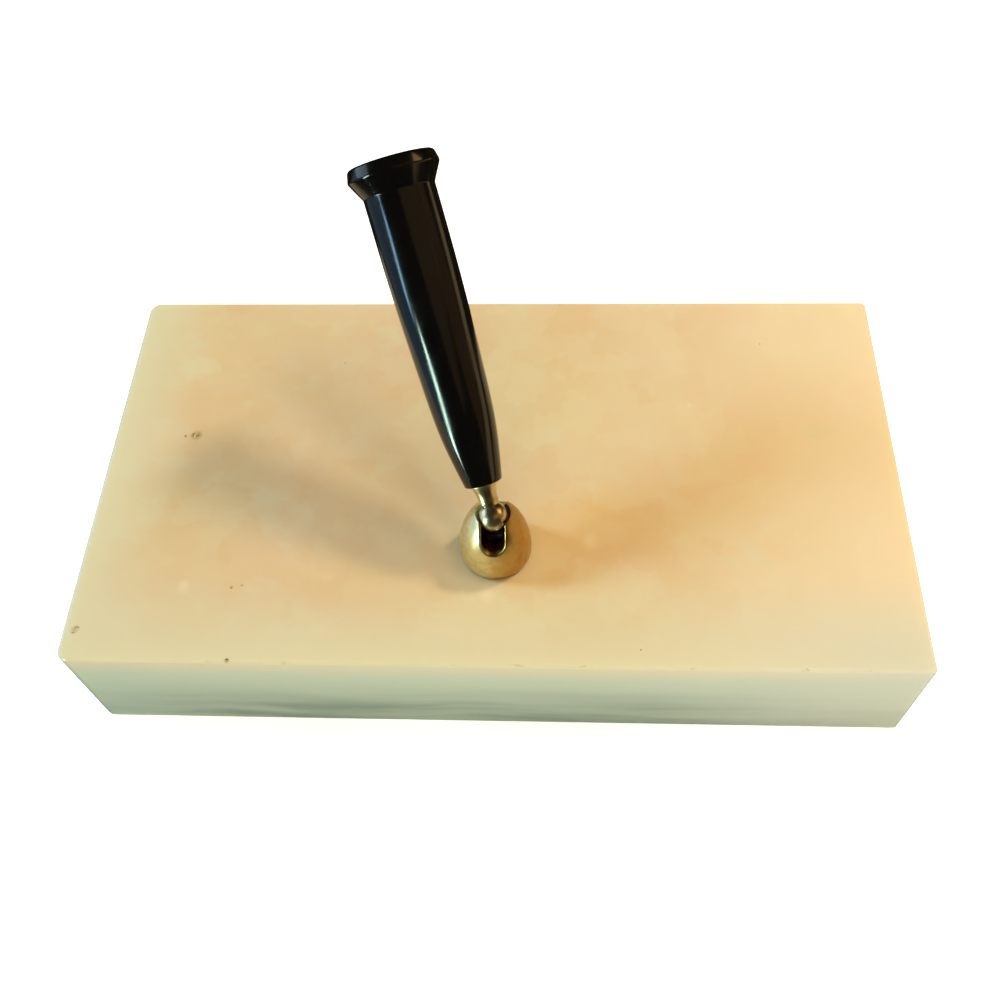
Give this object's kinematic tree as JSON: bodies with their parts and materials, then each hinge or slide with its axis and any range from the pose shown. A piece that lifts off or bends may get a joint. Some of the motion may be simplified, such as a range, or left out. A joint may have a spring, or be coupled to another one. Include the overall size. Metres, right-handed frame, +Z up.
{
  "type": "pen stand",
  "caption": "Stone slab with a slotted brass dome whose spring-loaded ball joint carries a black pen funnel.",
  "frame": {"origin": "on the desk, under the middle of the slab's footprint", "axes": "+X along the slab's length to the right, +Y to the back, +Z up"},
  "size_m": [0.2032, 0.1118, 0.1157],
  "materials": {
    "onyx": "polished",
    "felt": "matte",
    "fibre": "matte",
    "satin_brass": "satin",
    "black_nylon": "moulded",
    "spring_steel": "drawn wire",
    "turned_brass": "turned",
    "zinc_steel": "zinc plated",
    "nickel_silver": "turned and polished",
    "black_plastic": "polished",
    "liner_plastic": "moulded"
  },
  "bodies": {
    "base": {"stone_base": "onyx", "felt_foot_front_left": "felt", "felt_foot_front_right": "felt", "felt_foot_rear_left": "felt", "felt_foot_rear_right": "felt", "dome_gasket": "fibre", "clamp_washer": "zinc_steel"},
    "swivel": {"swivel_dome": "satin_brass", "dome_plug": "turned_brass", "ball_seat": "black_nylon", "seat_spring": "spring_steel", "mounting_stud": "zinc_steel", "spring_washer": "spring_steel", "hex_nut": "zinc_steel"},
    "ball": {"ball_stud": "nickel_silver", "rivet_washer": "turned_brass"},
    "funnel": {"pen_funnel": "black_plastic", "pen_liner": "liner_plastic"}
  },
  "joints": [
    {"name": "dome_turn", "type": "hinge", "parent": "base", "child": "swivel", "pos_m": [0.0009, -0.025, 0.0367], "axis": [0, 0, 1], "continuous": true},
    {"name": "funnel_tilt", "type": "hinge", "parent": "swivel", "child": "ball", "pos_m": [0.0009, -0.025, 0.05175], "axis": [0.947, 0.0447, 0.318], "range_deg": [-5, 130]},
    {"name": "funnel_spin", "type": "hinge", "parent": "ball", "child": "funnel", "pos_m": [0.0009, -0.025, 0.05175], "axis": [-0.2648, 0.6688, 0.6947], "continuous": true}
  ]
}
